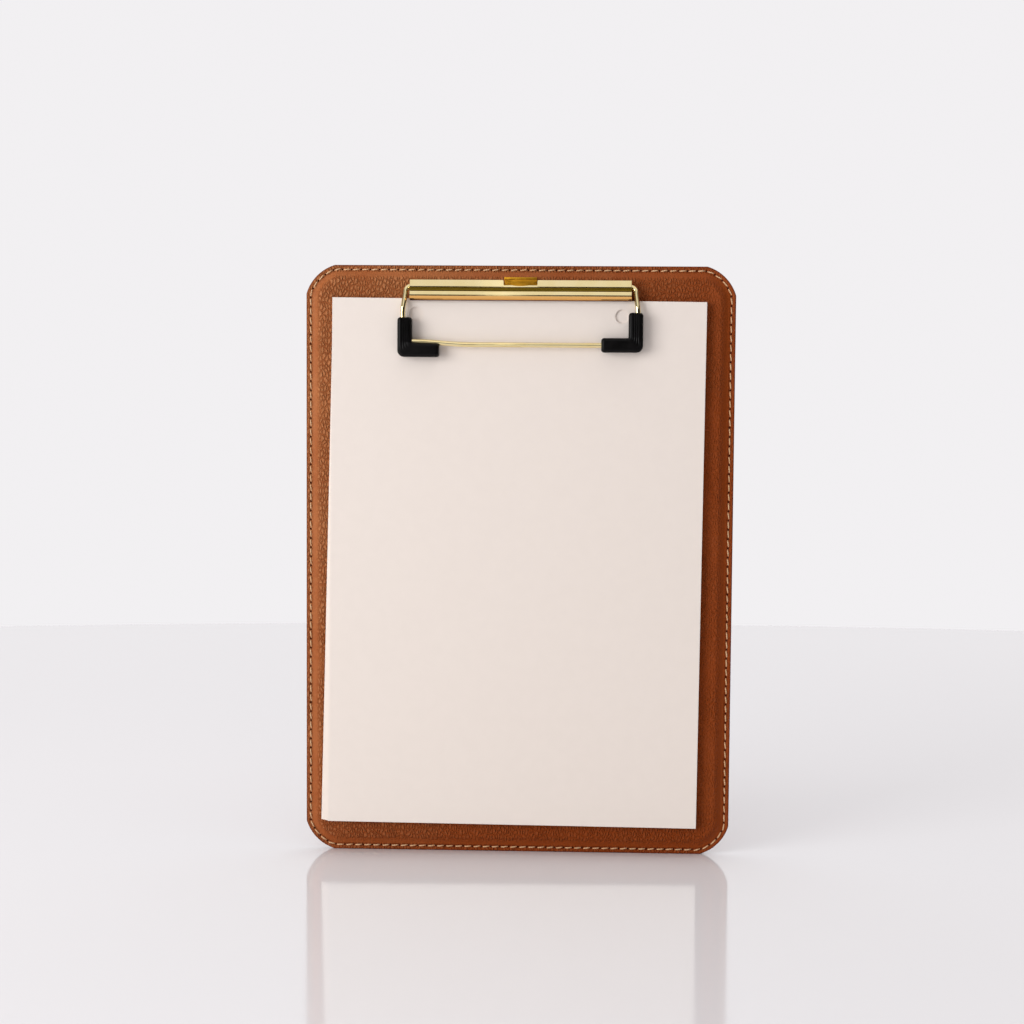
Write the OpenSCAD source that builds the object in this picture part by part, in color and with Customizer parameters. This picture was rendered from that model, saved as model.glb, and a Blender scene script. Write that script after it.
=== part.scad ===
// Leather-covered clipboard with a sprung wire bail clip and a sheaf of A5 paper.
// The board stands upright: +Z runs up it, its face looks along -Y, and the centre of
// its flat back is the origin. Pieces are drawn lying down, x across, y up the board and
// z out of the face, and upright() stands them up.

/* [Board] */
// Width of the board over its leather edges
board_w = 171; // [165:1:240]
// Height of the board over its leather edges
board_h = 236; // [228:1:330]
// Radius of each corner arc
corner_r = 17; // [16:0.5:24]
// Distance from both edges to the centre of a corner arc
corner_set = 16.3; // [15:0.1:16.3]
// Thickness of one layer of leather
leather_t = 1.2; // [0.8:0.1:1.6]
// Thickness of the stiff core board
core_t = 2.4; // [2:0.1:3]
// Width of the flat margin that is sewn through
margin_w = 3.4; // [2.6:0.1:4]
// Width of the slope from the margin up to the face
slope_w = 3.6; // [2.4:0.1:5]

/* [Stitching] */
// Distance from the edge of the board to the seam
seam_inset = 1.8; // [1.5:0.1:2.2]
// Thickness of the thread
thread_d = 0.6; // [0.4:0.1:0.7]
// Depth of the groove that the back thread lies in
groove_depth = 0.6; // [0.5:0.1:0.7]

/* [Pivot] */
// Distance from the top edge of the board down to the pivot of the clip
pivot_drop = 8.5; // [8.5:0.1:12]
// Height of the pivot above the leather face
pivot_rise = 2.6; // [2.6:0.1:3]
// Offset of the clip to the right of the middle of the board
clip_shift = 0.2; // [-1:0.1:1]
// Running gap between the wire and the holes it turns in
pivot_gap = 0.05; // [0.03:0.01:0.08]

/* [Lever] */
// Length of the lever bar
lever_l = 87.5; // [80:0.5:110]
// Thickness of the lever's sheet steel
lever_t = 0.7; // [0.5:0.1:0.8]
// Reach of the flange above the pivot
flange_reach = 2.35; // [2:0.05:2.4]
// Gap between the pivot axis and the inner face of the flange
flange_gap = 1.75; // [1.75:0.05:1.9]
// Lean of the flange towards the board at its top edge
flange_tilt = 8; // [4:1:10]
// Radius of the groove between the flange and the bead
groove_r = 0.8; // [0.7:0.05:0.9]
// Radius of the half-round bead
bead_r = 2.05; // [1.9:0.05:2.2]
// Width of the notch in the middle of the flange
notch_w = 13.4; // [10:0.1:18]

/* [Base] */
// Thickness of the base plate's steel
base_t = 0.8; // [0.6:0.1:0.9]
// Distance between the two rivets
rivet_pitch = 60; // [40:1:62]
// Diameter of the rivet shanks
rivet_d = 3; // [2.5:0.1:3.2]

/* [Bail] */
// Diameter of the bail's wire
wire_d = 2; // [1.8:0.1:2]
// Distance between the middles of the bail's two legs
bail_w = 91; // [83.5:0.5:114]
// Distance from the pivot down to the middle of the crossbar
bail_reach = 23; // [22:0.1:32]
// Angle at which the legs climb from the pivot
leg_climb = 20; // [18:1:26]

/* [Rubber corners] */
// Width of a rubber corner's legs
rubber_w = 5.7; // [5:0.1:6]
// Thickness of a rubber corner, out of the board
rubber_t = 5.2; // [4.6:0.1:5.4]
// Length of the upright leg over the corner
rubber_up = 15.6; // [14:0.1:18]
// Length of the level leg over the corner
rubber_across = 16.4; // [12:0.1:24]
// How far the left corner has slipped down its wire
left_slip = 2.2; // [0:0.1:2.4]

/* [Paper] */
// Width of the sheets
paper_w = 148; // [105:1:148]
// Length of the sheets
paper_l = 210; // [148:1:210]
// Thickness of the backing card
card_t = 0.7; // [0.4:0.1:0.9]
// Thickness of the unpunched sheets
lower_t = 1.6; // [0.8:0.1:1.7]
// Thickness of the punched sheets on top
upper_t = 0.65; // [0.2:0.05:0.7]
// Angle that the sheaf has swung about the clip
paper_swing = 0.45; // [0:0.05:0.5]
// Distance between the two filing holes
hole_pitch = 81.5; // [80:0.5:84]
// Diameter of the filing holes
hole_d = 5.6; // [5:0.1:6]

/* [Hidden] */
$fn = 64;
hull_fn = 32;
cut = 0.5;

// Levels above the back of the board
core_z = leather_t;
core_top = core_z + core_t;
margin_top = 2 * leather_t;
face_z = core_top + leather_t;
core_inset = margin_w + leather_t;
core_edge_t = 0.6;

// Pivot, measured from the middle of the board
pivot_y = board_h / 2 - pivot_drop;
pivot_z = face_z + pivot_rise;
hole_r = wire_d / 2 + pivot_gap;
curl_r = hole_r + 0.5;

// Lever section, measured from the pivot
groove_y = -1.15;
groove_z = 3;
bead_z = 1.7;
bead_y = groove_y - sqrt(pow(bead_r + groove_r, 2) - pow(groove_z - bead_z, 2));
bead_lean = atan2(groove_z - bead_z, groove_y - bead_y);
lip_z = 0.85;
lap_angle = 3;
crease_turn = acos((flange_gap + lever_t - groove_y * sin(flange_tilt)
    - groove_z * cos(flange_tilt)) / groove_r);
crease_angle = 90 - flange_tilt - crease_turn;
crease_y = groove_y + groove_r * cos(crease_angle);
crease_z = groove_z + groove_r * sin(crease_angle);
notch_floor = 0.35;
curl_l = 2.8;
curl_x = 38.2;
web_w = 1.6;

// Base plate, measured from the pivot
base_low = -4.4;
base_high = 0.9;
base_l = 83.6;
ear_x = 40.6;
ear_gap = 0.4;
tongue_w = 12.8;
tongue_y = 2.75;
tongue_z = 1.75;
rivet_y = -1.8;
rivet_head_d = 4.8;
rivet_head_t = 0.9;
rivet_gap = 0.05;
washer_d = 7;
washer_t = 0.5;
set_t = 0.5;
set_d = 4.4;
pocket_depth = washer_t + set_t + 0.1;

// Bail
wire_r = wire_d / 2;
end_x = 35.4;
top_bend_r = 2.5;
elbow_r = 4;
bar_bend_r = 3;
bend_swell = 0.01;
bend_lap = 0.1;
paper_bottom = face_z + 0.05;
paper_top = paper_bottom + card_t + lower_t + upper_t;
rubber_low = paper_top + 0.05;
bail_z = rubber_low + rubber_t / 2 - pivot_z;
leg_l = (bail_z - top_bend_r * sin(leg_climb) - elbow_r * (1 - cos(leg_climb))) / sin(leg_climb);
elbow_y = -(top_bend_r + leg_l) * cos(leg_climb) - elbow_r * sin(leg_climb);
rubber_gap = 0.03;
rubber_round = 1.2;
rubber_corner_r = 2.6;
slit_w = 1.1;

// Paper
paper_y = pivot_y - 5.1;
paper_x = -0.35;
hole_drop = 6.1;

module upright() { rotate([90, 0, 0]) children(); }

// Moves children to the pivot
module at_pivot() { translate([clip_shift, pivot_y, pivot_z]) children(); }

// Extrudes a section drawn as (up the board, out of the face) along x, centred on x = 0
module across(length) {
    rotate([90, 0, 90]) linear_extrude(length, center = true) children();
}

// Children and their mirror image
module both_sides() {
    children();
    mirror([1, 0, 0]) children();
}

// Outline of the board drawn in by inset. Its corner arcs meet the sides at a slight angle
module board_outline(inset) {
    intersection() {
        square([board_w - 2 * inset, board_h - 2 * inset], center = true);
        union() {
            square([board_w - 2 * corner_set, board_h], center = true);
            square([board_w, board_h - 2 * corner_set], center = true);
            for (sx = [-1, 1], sy = [-1, 1])
                translate([sx * (board_w / 2 - corner_set), sy * (board_h / 2 - corner_set)])
                    circle(corner_r - inset);
        }
    }
}

module slab(inset, z, t) {
    translate([0, 0, z]) linear_extrude(t) board_outline(inset);
}

// Slab whose rim slopes in over the width slope, from the height rim_t up to t
module crowned_slab(inset, slope, z, rim_t, t) {
    hull($fn = hull_fn) {
        slab(inset, z, rim_t);
        slab(inset + slope, z, t);
    }
}

module core_shape() {
    crowned_slab(core_inset, slope_w, core_z, core_edge_t, core_t);
}

module at_rivets() {
    translate([clip_shift, pivot_y + rivet_y, 0])
        both_sides() translate([rivet_pitch / 2, 0, 0]) children();
}

// Rivet shank's way through the base, the leather and the core
module rivet_bore() {
    cylinder(r = rivet_d / 2 + rivet_gap, h = face_z + base_t + cut);
}

module core_board() color("#8a8478") {
    difference() {
        core_shape();
        at_rivets() rivet_bore();
        at_rivets() translate([0, 0, core_z - cut])
            cylinder(d = washer_d + 0.2, h = pocket_depth + cut);
    }
}

module front_leather() color("#a3603a") {
    difference() {
        union() {
            slab(0, leather_t, leather_t);
            crowned_slab(margin_w, slope_w, leather_t, leather_t, face_z - leather_t);
        }
        core_shape();
        at_rivets() rivet_bore();
    }
}

// Ring of thread along the seam
module seam_ring(w, z, t) {
    difference() {
        slab(seam_inset - w / 2, z, t);
        slab(seam_inset + w / 2, z - cut, t + 2 * cut);
    }
}

module back_leather() color("#9a5a36") {
    difference() {
        slab(0, 0, leather_t);
        seam_ring(2 * thread_d, -cut, groove_depth + cut);
    }
}

module front_seam() color("#e0b48a") {
    seam_ring(thread_d, margin_top, thread_d / 2);
}

module back_seam() color("#e0b48a") {
    seam_ring(thread_d, groove_depth - thread_d / 2, thread_d / 2);
}

// Ear of the base: a round eye on a foot that stops short of the lever's swing
module base_ear() {
    difference() {
        across(base_t) union() {
            circle(curl_r);
            translate([-curl_r, -pivot_rise]) square([curl_r + base_high, pivot_rise]);
        }
        across(base_t + cut) circle(hole_r);
    }
}

module clip_base() color("#d8b45c") {
    difference() {
        union() {
            at_pivot() translate([-base_l / 2, base_low, -pivot_rise])
                cube([base_l, base_high - base_low, base_t]);
            at_pivot() translate([-tongue_w / 2, base_low, -pivot_rise])
                cube([tongue_w, tongue_y + base_t - base_low, base_t]);
            at_pivot() translate([-tongue_w / 2, tongue_y, -pivot_rise])
                cube([tongue_w, base_t, pivot_rise + tongue_z]);
            at_pivot() both_sides() translate([ear_x, 0, 0]) base_ear();
        }
        at_rivets() rivet_bore();
    }
}

module clip_rivets() color("#c9a24a") {
    at_rivets() union() {
        translate([0, 0, face_z + base_t]) cylinder(d = rivet_head_d, h = rivet_head_t);
        translate([0, 0, core_z + set_t]) cylinder(d = rivet_d, h = face_z + base_t - core_z - set_t);
        translate([0, 0, core_z + 0.05]) cylinder(d = set_d, h = set_t);
    }
}

module rivet_washers() color("#b9bcc0") {
    at_rivets() translate([0, 0, core_z + set_t + 0.05]) difference() {
        cylinder(d = washer_d, h = washer_t);
        translate([0, 0, -cut]) cylinder(r = rivet_d / 2 + rivet_gap, h = washer_t + 2 * cut);
    }
}

// Quarter or other part of a ring, from angle a1 to a2 and from radius r1 to r2
module ring_part(r1, r2, a1, a2) {
    reach = 2 * r2;
    intersection() {
        difference() {
            circle(r2);
            circle(r1);
        }
        polygon([[0, 0], for (i = [0:4]) let (a = a1 + (a2 - a1) * i / 4) reach * [cos(a), sin(a)]]);
    }
}

// Section of the lever's bent sheet: flange, groove, bead and lip. Each stretch laps a
// little over the one before it, so that the sheet is one piece
module lever_section() {
    flange_low = crease_y * cos(flange_tilt) - crease_z * sin(flange_tilt) - lever_t;
    flange_high = (flange_reach - flange_gap * sin(flange_tilt)) / cos(flange_tilt);
    difference() {
        rotate(-flange_tilt) translate([flange_low, flange_gap])
            square([flange_high - flange_low, lever_t]);
        translate([groove_y, groove_z]) circle(groove_r);
    }
    translate([groove_y, groove_z])
        ring_part(groove_r, groove_r + lever_t, 180 + bead_lean - lap_angle, 360 + crease_angle);
    translate([bead_y, bead_z])
        ring_part(bead_r - lever_t, bead_r, bead_lean, 180 + lap_angle);
    translate([bead_y - bead_r, lip_z]) square([lever_t, bead_z - lip_z]);
}

// Tab of the lever curled round the wire
module lever_curl() {
    difference() {
        across(curl_l) union() {
            circle(curl_r);
            translate([-web_w / 2, 0]) square([web_w, flange_gap + lever_t / 2]);
        }
        across(curl_l + cut) circle(hole_r);
    }
}

module clip_lever() color("#e6cf86") {
    at_pivot() {
        difference() {
            across(lever_l) lever_section();
            translate([-notch_w / 2, notch_floor, 0]) cube([notch_w, flange_reach + cut, 2 * flange_gap]);
        }
        both_sides() translate([curl_x, 0, 0]) lever_curl();
    }
}

// Bend of the wire in the XY plane about the origin, counter-clockwise from +x. It is a
// touch thicker than the straight wire, which runs a little way into it
module wire_bend(bend_r, turn) {
    rotate_extrude(angle = turn) translate([bend_r, 0]) circle(wire_r + bend_swell);
}

// Straight wire towards -y, with a lap at each end
module wire_run(length) {
    translate([0, bend_lap, 0]) rotate([90, 0, 0]) cylinder(r = wire_r, h = length + 2 * bend_lap);
}

// Right leg of the bail from its turned-in end to its lower bend. Each stretch is drawn
// in the place and direction where the one before it ends
module bail_leg() {
    leg_x = bail_w / 2;
    level_l = bail_reach + elbow_y - bar_bend_r;
    // turned-in end, which is the pivot pin
    translate([end_x, 0, 0]) rotate([0, 90, 0])
        cylinder(r = wire_r, h = leg_x - top_bend_r - end_x + bend_lap);
    translate([leg_x - top_bend_r, 0, 0]) rotate([-leg_climb, 0, 0]) {
        translate([0, -top_bend_r, 0]) wire_bend(top_bend_r, 90);
        translate([top_bend_r, -top_bend_r, 0]) wire_run(leg_l);
        translate([top_bend_r, -top_bend_r - leg_l, -elbow_r])
            rotate([leg_climb, 0, 0]) rotate([0, -90, 0]) wire_bend(elbow_r, leg_climb);
    }
    translate([leg_x, elbow_y, bail_z]) wire_run(level_l);
    translate([leg_x - bar_bend_r, bar_bend_r - bail_reach, bail_z])
        rotate([0, 0, -90]) wire_bend(bar_bend_r, 90);
}

module wire_bail() color("#e3c878") {
    at_pivot() {
        both_sides() bail_leg();
        translate([0, -bail_reach, bail_z]) rotate([0, 90, 0])
            cylinder(r = wire_r, h = bail_w - 2 * (bar_bend_r - bend_lap), center = true);
    }
}

// L-shaped outline of a rubber corner with its outer corner at the origin, legs along -x and +y
module rubber_outline() {
    union() {
        translate([-rubber_w, rubber_corner_r])
            square([rubber_w, rubber_up - rubber_corner_r - rubber_round]);
        translate([rubber_round - rubber_w, rubber_up - 2 * rubber_round])
            square([rubber_w - 2 * rubber_round, 2 * rubber_round]);
        for (x = [rubber_round - rubber_w, -rubber_round])
            translate([x, rubber_up - rubber_round]) circle(rubber_round);
        translate([rubber_round - rubber_across, 0])
            square([rubber_across - rubber_round - rubber_corner_r, rubber_w]);
        translate([-rubber_across, rubber_round])
            square([2 * rubber_round, rubber_w - 2 * rubber_round]);
        for (y = [rubber_round, rubber_w - rubber_round])
            translate([rubber_round - rubber_across, y]) circle(rubber_round);
        translate([-rubber_corner_r, rubber_corner_r]) circle(rubber_corner_r);
    }
}

// Rubber corner on the right leg, with the wire's own path cut out of it.
// slip is how far it sits below its place
module rubber_corner(slip) {
    bore_r = wire_r + rubber_gap;
    leg_x = bail_w / 2;
    difference() {
        translate([leg_x + rubber_w / 2, -bail_reach - rubber_w / 2 - slip, bail_z - rubber_t / 2])
            linear_extrude(rubber_t) rubber_outline();
        translate([leg_x, 0, bail_z]) rotate([90, 0, 0])
            cylinder(r = bore_r, h = bail_reach - bar_bend_r);
        translate([leg_x - bar_bend_r, bar_bend_r - bail_reach, bail_z]) rotate([0, 0, -90])
            rotate_extrude(angle = 90) translate([bar_bend_r, 0]) circle(bore_r);
        translate([0, -bail_reach, bail_z]) rotate([0, 90, 0])
            cylinder(r = bore_r, h = leg_x - bar_bend_r);
        // slit that the level leg was pushed over the wire through
        translate([0, -bail_reach, bail_z - slit_w / 2])
            cube([leg_x - bar_bend_r, rubber_w, slit_w]);
    }
}

module corner_left() color("#141414") {
    at_pivot() mirror([1, 0, 0]) rubber_corner(left_slip);
}

module corner_right() color("#141414") {
    at_pivot() rubber_corner(0);
}

// Sheets of the sheaf between two heights above its underside
module sheets(z, t) {
    translate([paper_x, paper_y, paper_bottom + z]) rotate([0, 0, -paper_swing])
        translate([-paper_w / 2, -paper_l, 0]) cube([paper_w, paper_l, t]);
}

module backing_card() color("#b8a88c") {
    sheets(0, card_t);
}

module lower_sheets() color("#efe6dc") {
    sheets(card_t, lower_t);
}

module upper_sheets() color("#f3ebe2") {
    difference() {
        sheets(card_t + lower_t, upper_t);
        translate([paper_x, paper_y, face_z]) rotate([0, 0, -paper_swing])
            both_sides() translate([hole_pitch / 2, -hole_drop, 0])
                cylinder(d = hole_d, h = paper_top - face_z + cut);
    }
}

upright() core_board();
upright() front_leather();
upright() back_leather();
upright() front_seam();
upright() back_seam();
upright() clip_base();
upright() clip_rivets();
upright() rivet_washers();
upright() clip_lever();
upright() wire_bail();
upright() corner_left();
upright() corner_right();
upright() backing_card();
upright() lower_sheets();
upright() upper_sheets();
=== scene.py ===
import math

import bpy
import numpy as np
from mathutils import Matrix, Vector, geometry, noise


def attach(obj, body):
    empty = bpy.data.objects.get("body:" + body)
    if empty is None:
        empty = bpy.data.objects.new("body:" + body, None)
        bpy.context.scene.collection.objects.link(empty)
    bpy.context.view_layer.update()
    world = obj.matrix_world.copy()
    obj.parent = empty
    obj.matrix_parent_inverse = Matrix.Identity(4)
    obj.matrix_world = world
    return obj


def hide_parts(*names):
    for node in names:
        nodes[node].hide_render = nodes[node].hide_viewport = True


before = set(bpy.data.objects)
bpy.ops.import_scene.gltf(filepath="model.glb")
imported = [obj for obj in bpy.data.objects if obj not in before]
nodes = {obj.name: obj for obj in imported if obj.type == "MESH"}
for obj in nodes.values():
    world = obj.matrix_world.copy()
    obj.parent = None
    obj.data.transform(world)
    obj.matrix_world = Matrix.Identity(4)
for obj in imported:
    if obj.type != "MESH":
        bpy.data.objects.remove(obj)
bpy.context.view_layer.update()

scene = bpy.context.scene

# ---------------------------------------------------------------- camera
# Stands a little to the right of the board, level with its upper half, and looks
# slightly down and to the left, with a moderately long lens.
camera_data = bpy.data.cameras.new("camera")
camera_data.sensor_width = 36
camera_data.lens = 65.7
camera_yaw, camera_pitch, camera_roll = (math.radians(a) for a in (-2.0, 3.88, 0.403))
ahead = Vector((math.sin(camera_yaw) * math.cos(camera_pitch),
                math.cos(camera_yaw) * math.cos(camera_pitch), -math.sin(camera_pitch)))
level = Vector((math.cos(camera_yaw), -math.sin(camera_yaw), 0))
rise = level.cross(ahead)
right = math.cos(camera_roll) * level + math.sin(camera_roll) * rise
upward = math.cos(camera_roll) * rise - math.sin(camera_roll) * level
camera = bpy.data.objects.new("camera", camera_data)
camera.matrix_world = Matrix.Translation((0.0233, -0.749, 0.0706)) @ Matrix(
    (right, upward, -ahead)).transposed().to_4x4()
scene.collection.objects.link(camera)
scene.camera = camera
scene.view_settings.view_transform = "Standard"

# ---------------------------------------------------------------- core board
# The stiff heart of the board: 2.4 mm pressed greyboard, die-cut with sloping edges,
# glued between the two leathers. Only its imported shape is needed, since leather hides it.


def srgb(code):
    """Linear colour of an sRGB hex value."""
    parts = [int(code[i:i + 2], 16) / 255 for i in (1, 3, 5)]
    return (*(p / 12.92 if p <= 0.04045 else ((p + 0.055) / 1.055) ** 2.4 for p in parts), 1)


def add(tree, kind, inputs=None, **settings):
    """Adds a node with its own settings, and feeds its inputs from sockets, nodes or values.
    A node given for an input feeds it from the first output that its settings leave in use."""
    made = tree.nodes.new(kind)
    for name, value in settings.items():
        setattr(made, name, value)
    for key, value in (inputs or {}).items():
        if isinstance(value, bpy.types.Node):
            value = next(socket for socket in value.outputs if socket.enabled)
        if isinstance(value, bpy.types.NodeSocket):
            tree.links.new(value, made.inputs[key])
        else:
            made.inputs[key].default_value = value
    return made


def blank_material(name):
    """New material with an empty tree, and the place of a point on the piece, in metres."""
    material = bpy.data.materials.new(name)
    material.use_nodes = True
    tree = material.node_tree
    tree.nodes.clear()
    return material, tree, add(tree, "ShaderNodeTexCoord").outputs["Object"]


# Settings that many nodes share. A Mix node set to colours takes them on its inputs 6 and 7
in_colour = {"data_type": "RGBA"}
smooth = {"interpolation_type": "SMOOTHSTEP"}


def finish_material(tree, **inputs):
    """Principled shader with those inputs, underscores standing for spaces, on the output."""
    shader = add(tree, "ShaderNodeBsdfPrincipled",
                 {key.replace("_", " "): value for key, value in inputs.items()})
    add(tree, "ShaderNodeOutputMaterial", {"Surface": shader})


# Pressed greyboard: recycled pulp, so mottled grey-brown with darker fibres, quite matte
greyboard, tree, place = blank_material("pressed_greyboard")
pulp = add(tree, "ShaderNodeTexNoise", {"Vector": place, "Scale": 900.0, "Detail": 6.0})
fibre = add(tree, "ShaderNodeTexNoise", {"Vector": place, "Scale": 160.0, "Detail": 3.0})
share = add(tree, "ShaderNodeMapRange", {"Value": fibre, "From Min": 0.35, "From Max": 0.65}, **smooth)
colour = add(tree, "ShaderNodeMix", {0: share, 6: srgb("#7E776B"), 7: srgb("#9A9284")}, **in_colour)
bump = add(tree, "ShaderNodeBump", {"Height": pulp, "Strength": 0.4, "Distance": 0.0002})
finish_material(tree, Base_Color=colour, Roughness=0.9, Normal=bump)
nodes["core_board"].data.materials[0] = greyboard

# ---------------------------------------------------------------- leathers
# Two 1.2 mm skins of pebble-grained cowhide, dyed through and glued over and under the
# core. The front one is drawn tight over the core's edge, which stretches its grain smooth
# there, and both are trimmed and burnished together after the margin has been sewn.
board_w, board_h = 171.0, 236.0
corner_r, corner_set = 17.0, 16.3
leather_t, margin_top, face_z = 1.2, 2.4, 4.8
seam_inset, stitch_pitch, thread_d = 1.8, 3.7, 0.54
steps_per_stitch = 8
furrow_deep, furrow_wide = 0.18, 0.5
shoulder_from, shoulder_wide = 2.6, 4.1
hole_wide, hole_long, hole_deep = 0.55, 1.3, 0.45
skin_top = face_z - 0.05
skin_wave = 0.06


def side_lines(inset):
    """Corner arcs of the outline drawn in by inset, as (centre, radius, start, sweep)."""
    radius = corner_r - inset
    turn = math.acos((corner_set - inset) / radius)
    centre_x, centre_y = board_w / 2 - corner_set, board_h / 2 - corner_set
    return [((sx * centre_x, sy * centre_y), radius, turn + quarter * math.pi / 2,
             math.pi / 2 - 2 * turn)
            for quarter, (sx, sy) in enumerate(((1, 1), (-1, 1), (-1, -1), (1, -1)))]


def outline(inset, marks):
    """Points round the board, drawn in by inset. Each mark is a corner and a share of the
    way along its arc, or past 1 along the side that follows. Arcs meet sides in a faint kink."""
    arcs = side_lines(inset)

    def on_arc(corner, share):
        centre, radius, start, sweep = arcs[corner % 4]
        angle = start + sweep * share
        return np.array((centre[0] + radius * math.cos(angle),
                         centre[1] + radius * math.sin(angle)))

    return np.array([on_arc(corner, share) if share <= 1 else
                     on_arc(corner, 1) * (2 - share) + on_arc(corner + 1, 0) * (share - 1)
                     for corner, share in marks])


def even_marks(inset):
    """Marks at even steps round the board, so many to a stitch, and the number of stitches."""
    fine = [(corner, share) for corner in range(4) for share in np.linspace(0, 2, 801)[:-1]]
    path = outline(inset, fine)
    reach = np.linalg.norm(np.roll(path, -1, axis=0) - path, axis=1)
    gone = np.concatenate(([0], np.cumsum(reach)))
    stitches = round(gone[-1] / stitch_pitch)
    steps = np.arange(stitches * steps_per_stitch) * gone[-1] / (stitches * steps_per_stitch)
    flat = np.interp(steps, gone, np.arange(len(gone))) / 400
    return [(int(mark // 2), mark % 2) for mark in flat], stitches


def smooth_step(value):
    value = np.clip(value, 0, 1)
    return value * value * (3 - 2 * value)


def stand_up(points):
    """Points drawn lying down in mm, x across, y up the board, z out of the face, in metres."""
    points = np.asarray(points, float) * 0.001
    return np.column_stack((points[:, 0], -points[:, 2], points[:, 1]))


def make_piece(name, points, faces, material, sharp_deg=None):
    """Object at the origin with those points and faces, smooth but for edges over sharp_deg."""
    mesh = bpy.data.meshes.new(name)
    mesh.from_pydata(stand_up(points).tolist(), [], faces)
    mesh.materials.append(material)
    mesh.shade_smooth()
    if sharp_deg is not None:
        mesh.set_sharp_from_angle(angle=math.radians(sharp_deg))
    piece = bpy.data.objects.new(name, mesh)
    scene.collection.objects.link(piece)
    return piece


def ring_faces(rows, around, first=0):
    """Quads between closed rows of points."""
    return [(first + r * around + i, first + r * around + (i + 1) % around,
             first + (r + 1) * around + (i + 1) % around, first + (r + 1) * around + i)
            for r in range(rows - 1) for i in range(around)]


def fan(ring, pole, flip=False):
    """Triangles from a ring of point numbers to a pole."""
    turned = [(ring[i], ring[(i + 1) % len(ring)], pole) for i in range(len(ring))]
    return [face[::-1] for face in turned] if flip else turned


marks, stitch_count = even_marks(seam_inset)
around = len(marks)
# the needle goes in between stitches, at the first of each stitch's marks
half_stitch = steps_per_stitch // 2
needle_in = np.array([
    max(0.0, 1 - abs((i + half_stitch) % steps_per_stitch - half_stitch) / hole_long)
    for i in range(around)])


def pit_depth(inset):
    """How deep in a needle hole each point of a row lies, from 0 to 1."""
    return needle_in * max(0.0, 1 - abs(inset - seam_inset) / hole_wide)


# Rows of the front from its lower edge, over the margin and the shoulder, to the face
front_rows = [(0.10, 1.2), (0.0, 1.32), (0.0, 1.95), (0.08, 2.2), (0.28, 2.36)]
front_rows += [(d, None) for d in np.arange(0.6, 3.1, 0.3)]
front_rows += [(d, None) for d in np.arange(3.4, 8.1, 0.4)]
front_rows += [(d, None) for d in np.arange(9.0, 14.1, 1.0)]


def front_height(inset):
    """Height of the front: sewn margin with a furrow along the seam, soft shoulder, face."""
    margin = margin_top - furrow_deep * math.exp(-((inset - seam_inset) / furrow_wide) ** 2)
    return margin + (skin_top - margin_top) * float(
        smooth_step((inset - shoulder_from) / shoulder_wide))


def grain_share(x, y, loose):
    """How much of its grain the skin shows at a place: unevenly, and least on the right."""
    uneven = 0.5 * noise.noise(Vector((x * 0.09, y * 0.06, 7.0)))
    uneven -= 0.45 * float(smooth_step((x - 66) / 12))
    return min(1.0, max(0.08, loose * (1 + uneven) + 0.35 * loose * (1 - loose)))


front_points, slack, pit, cut_edge = [], [], [], []
for inset, height in front_rows:
    ring = outline(inset, marks)
    pits = pit_depth(inset) if 0.5 < inset < 3.1 else np.zeros(around)
    base = height if height is not None else front_height(inset)
    stir = 0.0 if height is not None else skin_wave
    # the stretch over the core's edge pulls the grain out, then lets it come back
    loose = 0.75 if inset < shoulder_from else float(smooth_step((inset - 3.7) / 2.2))
    for (x, y), depth in zip(ring, pits):
        wave = stir * noise.noise(Vector((x * 0.22, y * 0.16, 1.0)))
        front_points.append((x, y, base + wave - hole_deep * depth))
        slack.append(grain_share(x, y, loose))
    pit += list(pits)
    cut_edge += [1.0 if inset < 0.2 else 0.4 if inset < 0.5 else 0.0] * around
for share in (0.06, 0.14, 0.24, 0.36, 0.5, 0.66, 0.83):
    ring = outline(14.0, marks) * (1 - share)
    front_points += [(x, y, skin_top) for x, y in ring]
    slack += [grain_share(x, y, 1.0) for x, y in ring]
front_count = len(front_points) // around
front_faces = ring_faces(front_count, around)
front_points.append((0, 0, skin_top))
slack.append(grain_share(0, 0, 1.0))
front_faces += fan(range((front_count - 1) * around, front_count * around), len(front_points) - 1)
# The flesh side, against the back leather and over the core
under_first = len(front_points)
for inset, height in ((4.5, 1.2), (8.2, 3.58)):
    front_points += [(x, y, height) for x, y in outline(inset, marks)]
front_faces += [face[::-1] for face in ring_faces(2, around, under_first)]
front_faces += [(i, under_first + i, under_first + (i + 1) % around, (i + 1) % around)
                for i in range(around)]
front_points.append((0, 0, 3.58))
front_faces += fan(range(under_first + around, under_first + 2 * around),
                   len(front_points) - 1, flip=True)


def store(piece, **values):
    """Keeps a number for each point of a piece, for its material to read, zero past the end."""
    for name, numbers in values.items():
        attribute = piece.data.attributes.new(name, "FLOAT", "POINT")
        numbers = list(numbers) + [0.0] * (len(piece.data.vertices) - len(numbers))
        attribute.data.foreach_set("value", np.asarray(numbers, np.float32))


# Aniline-dyed pebbled cowhide: cognac, with painted shade in the creases between its pebbles and a
# painted highlight and a soft waxy sheen on top of each. Its cut edge is burnished redder and darker
leather, tree, place = blank_material("pebbled_cognac_cowhide")
slack_value, pit_value, edge_value = (
    add(tree, "ShaderNodeAttribute", attribute_name=name).outputs["Fac"]
    for name in ("slack", "pit", "cut_edge"))
spot = add(tree, "ShaderNodeSeparateXYZ", {"Vector": place})
on_skin = add(tree, "ShaderNodeCombineXYZ", {"X": spot.outputs["X"], "Y": spot.outputs["Z"]})
# creases wander by half a millimetre every 3 mm
wander = add(tree, "ShaderNodeTexNoise", {"Vector": on_skin, "Scale": 330.0, "Detail": 2.0},
             noise_dimensions="2D")
bent = add(tree, "ShaderNodeVectorMath",
           {0: wander.outputs["Color"], 1: (0.0013, 0.0011, 0), 2: on_skin},
           operation="MULTIPLY_ADD")


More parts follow.
